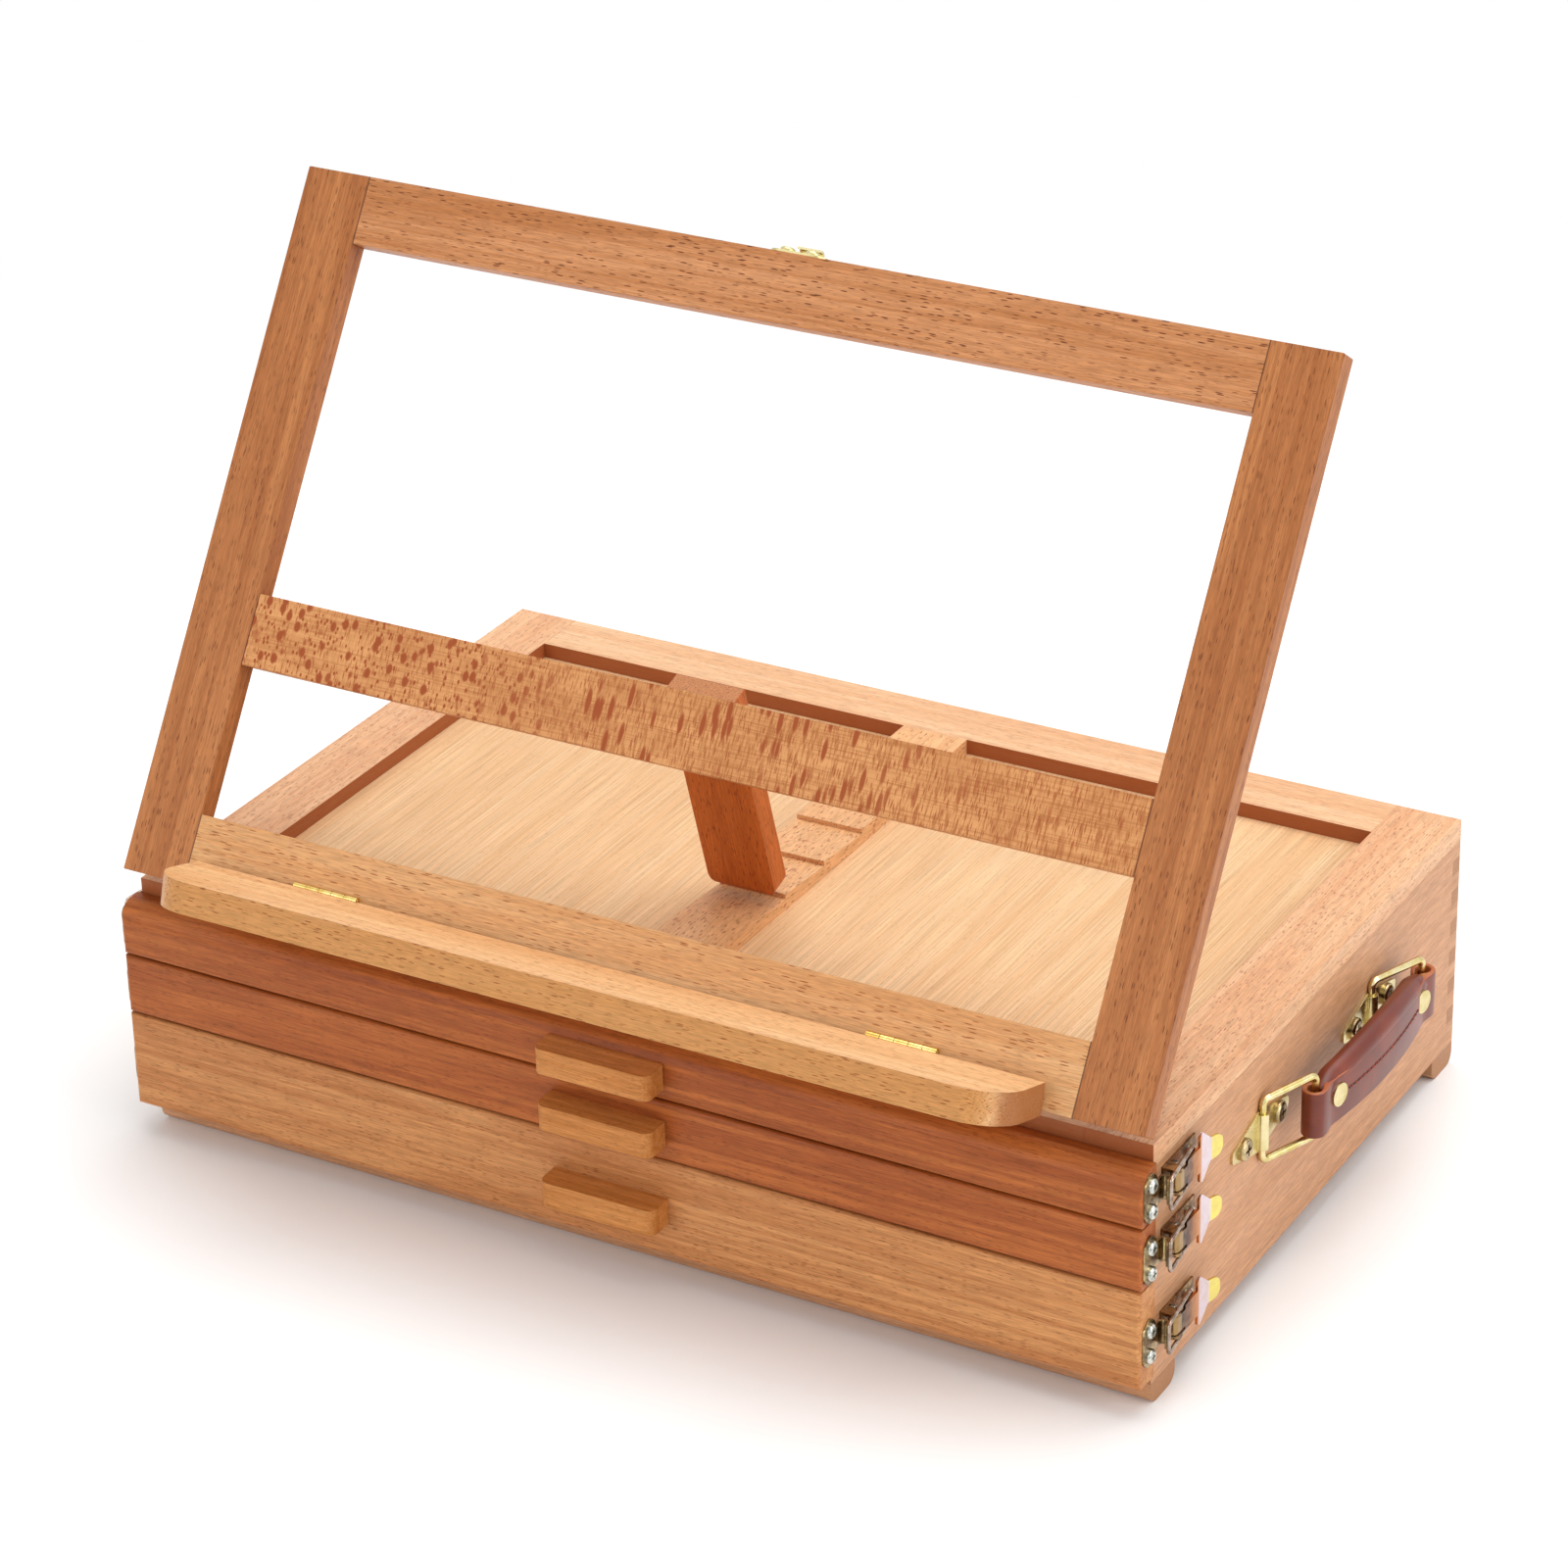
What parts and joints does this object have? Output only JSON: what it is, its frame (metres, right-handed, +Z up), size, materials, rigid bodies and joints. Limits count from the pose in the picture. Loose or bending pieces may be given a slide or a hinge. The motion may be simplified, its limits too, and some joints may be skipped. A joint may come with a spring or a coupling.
{
  "type": "table_box_easel",
  "caption": "Wooden table box easel: a raised frame with canvas ledge over a case with three drawers, draw latches and a leather carrying handle.",
  "frame": {"origin": "bottom centre of the whole part's bounding box, on the ground under the feet", "axes": "+Z up, +Y towards the back of the case, +X to the right seen from the drawer fronts"},
  "size_m": [0.435, 0.3308, 0.3328],
  "materials": {
    "wood_case": "clear varnished",
    "wood_deck": "clear varnished",
    "wood_ply": "sanded plywood",
    "wood_front": "clear varnished",
    "wood_frame": "clear varnished",
    "wood_ray": "clear varnished",
    "wood_ledge": "clear varnished",
    "brass_plate": "plated satin",
    "brass_hinge": "plated satin",
    "steel_screw": "zinc",
    "steel_lever": "nickel",
    "steel_wire": "plated",
    "leather_grip": "smooth"
  },
  "bodies": {
    "case": {"side_left": "wood_case", "side_right": "wood_case", "back_panel": "wood_case", "bottom_board": "wood_ply", "foot_rails": "wood_case", "deck_stiles": "wood_deck", "deck_rails": "wood_deck", "deck_center_stile": "wood_deck", "deck_panels": "wood_deck", "drawer_runners": "wood_case", "latch_bases": "brass_plate", "latch_screws": "steel_screw", "handle_plates": "brass_plate", "handle_screws": "brass_plate", "easel_hinge_leaves_deck": "brass_hinge"},
    "easel": {"easel_stiles": "wood_frame", "easel_top_rail": "wood_frame", "easel_mid_rail": "wood_ray", "easel_bottom_rail": "wood_frame", "easel_hinge_leaves_frame": "brass_hinge", "prop_hinge_leaf_rail": "brass_hinge", "ledge_hinge_leaves_frame": "brass_hinge", "catch_plate": "brass_plate"},
    "prop": {"prop_leg": "wood_frame", "prop_hinge_leaf_leg": "brass_hinge"},
    "ledge": {"canvas_ledge": "wood_ledge", "ledge_hinge_leaves": "brass_hinge"},
    "drawer_top": {"drawer_top_front": "wood_front", "drawer_top_pull": "wood_front", "drawer_top_box": "wood_ply", "drawer_top_strikes": "brass_plate", "drawer_top_screws": "steel_screw"},
    "drawer_middle": {"drawer_middle_front": "wood_front", "drawer_middle_pull": "wood_front", "drawer_middle_box": "wood_ply", "drawer_middle_strikes": "brass_plate", "drawer_middle_screws": "steel_screw"},
    "drawer_bottom": {"drawer_bottom_front": "wood_front", "drawer_bottom_pull": "wood_front", "drawer_bottom_box": "wood_ply", "drawer_bottom_strikes": "brass_plate", "drawer_bottom_screws": "steel_screw"},
    "lever_top_right": {"latch_lever_top_right": "steel_lever"},
    "lever_top_left": {"latch_lever_top_left": "steel_lever"},
    "lever_middle_right": {"latch_lever_middle_right": "steel_lever"},
    "lever_middle_left": {"latch_lever_middle_left": "steel_lever"},
    "lever_bottom_right": {"latch_lever_bottom_right": "steel_lever"},
    "lever_bottom_left": {"latch_lever_bottom_left": "steel_lever"},
    "lever_rear": {"latch_lever_rear": "steel_lever"},
    "bail_top_right": {"latch_bail_top_right": "steel_wire"},
    "bail_top_left": {"latch_bail_top_left": "steel_wire"},
    "bail_middle_right": {"latch_bail_middle_right": "steel_wire"},
    "bail_middle_left": {"latch_bail_middle_left": "steel_wire"},
    "bail_bottom_right": {"latch_bail_bottom_right": "steel_wire"},
    "bail_bottom_left": {"latch_bail_bottom_left": "steel_wire"},
    "bail_rear": {"latch_bail_rear": "steel_wire"},
    "handle_grip": {"handle_grip": "leather_grip", "handle_rivets": "brass_plate"},
    "ring_front": {"handle_ring_front": "brass_plate"},
    "ring_rear": {"handle_ring_rear": "brass_plate"}
  },
  "joints": [
    {"name": "easel_fold", "type": "hinge", "parent": "case", "child": "easel", "pos_m": [-0.00513, -0.12537, 0.1041], "axis": [1, 0, 0], "range_deg": [-56.83, 0]},
    {"name": "prop_fold", "type": "hinge", "parent": "easel", "child": "prop", "pos_m": [-0.00733, -0.06521, 0.1944], "axis": [1, 0, 0], "range_deg": [0, 136.39]},
    {"name": "ledge_fold", "type": "hinge", "parent": "easel", "child": "ledge", "pos_m": [-0.00763, -0.12937, 0.11926], "axis": [1, 0, 0], "range_deg": [-105, 0]},
    {"name": "drawer_top_slide", "type": "slide", "parent": "case", "child": "drawer_top", "axis": [0, -1, 0], "range_m": [0, 0.2]},
    {"name": "drawer_middle_slide", "type": "slide", "parent": "case", "child": "drawer_middle", "axis": [0, -1, 0], "range_m": [0, 0.2]},
    {"name": "drawer_bottom_slide", "type": "slide", "parent": "case", "child": "drawer_bottom", "axis": [0, -1, 0], "range_m": [0, 0.2]},
    {"name": "lever_top_right_turn", "type": "hinge", "parent": "case", "child": "lever_top_right", "pos_m": [0.20357, -0.11647, 0.086], "axis": [0, 0, -1], "range_deg": [0, 110]},
    {"name": "bail_top_right_turn", "type": "hinge", "parent": "lever_top_right", "child": "bail_top_right", "pos_m": [0.20357, -0.10347, 0.086], "axis": [0, 0, -1], "range_deg": [-110, 0]},
    {"name": "lever_top_left_turn", "type": "hinge", "parent": "case", "child": "lever_top_left", "pos_m": [-0.21383, -0.11647, 0.086], "axis": [0, 0, 1], "range_deg": [0, 110]},
    {"name": "bail_top_left_turn", "type": "hinge", "parent": "lever_top_left", "child": "bail_top_left", "pos_m": [-0.21383, -0.10347, 0.086], "axis": [0, 0, 1], "range_deg": [-110, 0]},
    {"name": "lever_middle_right_turn", "type": "hinge", "parent": "case", "child": "lever_middle_right", "pos_m": [0.20357, -0.11647, 0.062], "axis": [0, 0, -1], "range_deg": [0, 110]},
    {"name": "bail_middle_right_turn", "type": "hinge", "parent": "lever_middle_right", "child": "bail_middle_right", "pos_m": [0.20357, -0.10347, 0.062], "axis": [0, 0, -1], "range_deg": [-110, 0]},
    {"name": "lever_middle_left_turn", "type": "hinge", "parent": "case", "child": "lever_middle_left", "pos_m": [-0.21383, -0.11647, 0.062], "axis": [0, 0, 1], "range_deg": [0, 110]},
    {"name": "bail_middle_left_turn", "type": "hinge", "parent": "lever_middle_left", "child": "bail_middle_left", "pos_m": [-0.21383, -0.10347, 0.062], "axis": [0, 0, 1], "range_deg": [-110, 0]},
    {"name": "lever_bottom_right_turn", "type": "hinge", "parent": "case", "child": "lever_bottom_right", "pos_m": [0.20357, -0.11647, 0.0295], "axis": [0, 0, -1], "range_deg": [0, 110]},
    {"name": "bail_bottom_right_turn", "type": "hinge", "parent": "lever_bottom_right", "child": "bail_bottom_right", "pos_m": [0.20357, -0.10347, 0.0295], "axis": [0, 0, -1], "range_deg": [-110, 0]},
    {"name": "lever_bottom_left_turn", "type": "hinge", "parent": "case", "child": "lever_bottom_left", "pos_m": [-0.21383, -0.11647, 0.0295], "axis": [0, 0, 1], "range_deg": [0, 110]},
    {"name": "bail_bottom_left_turn", "type": "hinge", "parent": "lever_bottom_left", "child": "bail_bottom_left", "pos_m": [-0.21383, -0.10347, 0.0295], "axis": [0, 0, 1], "range_deg": [-110, 0]},
    {"name": "lever_rear_turn", "type": "hinge", "parent": "case", "child": "lever_rear", "pos_m": [-0.00713, 0.14303, 0.09545], "axis": [1, 0, 0], "range_deg": [0, 110]},
    {"name": "bail_rear_turn", "type": "hinge", "parent": "lever_rear", "child": "bail_rear", "pos_m": [-0.00713, 0.14303, 0.08245], "axis": [-1, 0, 0], "range_deg": [-100, 0]},
    {"name": "ring_front_swing", "type": "hinge", "parent": "case", "child": "ring_front", "pos_m": [0.20085, -0.04117, 0.064], "axis": [0, 0, -1], "range_deg": [0, 70]},
    {"name": "grip_turn", "type": "hinge", "parent": "ring_front", "child": "handle_grip", "pos_m": [0.20999, -0.01737, 0.064], "axis": [0, 0, -1], "range_deg": [-70, 0]},
    {"name": "ring_rear_swing", "type": "hinge", "parent": "case", "child": "ring_rear", "pos_m": [0.20085, 0.05203, 0.064], "axis": [0, 0, -1], "range_deg": [0, 70]}
  ],
  "couplings": [
    {"joint": "prop_fold", "follows": "easel_fold", "ratio": -2.4},
    {"joint": "bail_top_right_turn", "follows": "lever_top_right_turn", "ratio": -1},
    {"joint": "bail_top_left_turn", "follows": "lever_top_left_turn", "ratio": -1},
    {"joint": "bail_middle_right_turn", "follows": "lever_middle_right_turn", "ratio": -1},
    {"joint": "bail_middle_left_turn", "follows": "lever_middle_left_turn", "ratio": -1},
    {"joint": "bail_bottom_right_turn", "follows": "lever_bottom_right_turn", "ratio": -1},
    {"joint": "bail_bottom_left_turn", "follows": "lever_bottom_left_turn", "ratio": -1},
    {"joint": "grip_turn", "follows": "ring_front_swing", "ratio": -1},
    {"joint": "ring_rear_swing", "follows": "ring_front_swing", "ratio": 1}
  ]
}
